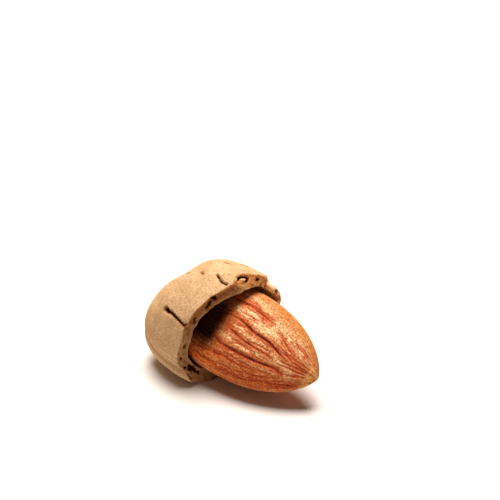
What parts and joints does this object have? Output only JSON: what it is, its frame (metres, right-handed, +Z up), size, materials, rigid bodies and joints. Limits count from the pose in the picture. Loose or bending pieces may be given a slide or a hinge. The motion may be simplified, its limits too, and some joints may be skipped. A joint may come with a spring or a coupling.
{
  "type": "almond",
  "caption": "Almond cracked open: the blunt base end of the pitted shell lying on its side, with the wrinkled kernel loose in it and its point sticking out.",
  "frame": {"origin": "centre of the bounding box, on the plane that the nut rests on", "axes": "+Z up; +X along the nut, from the shell's blunt base to the kernel's point; -Y towards the keel side and the open face"},
  "size_m": [0.0282, 0.0164, 0.0154],
  "materials": {
    "shell_wood": "dry, matt, pale tan wood with dark pits and an orange-brown broken edge",
    "kernel_skin": "dry, matt, papery brown skin with lengthways wrinkles"
  },
  "bodies": {
    "root": {"shell": "shell_wood", "kernel": "kernel_skin"}
  },
  "joints": []
}
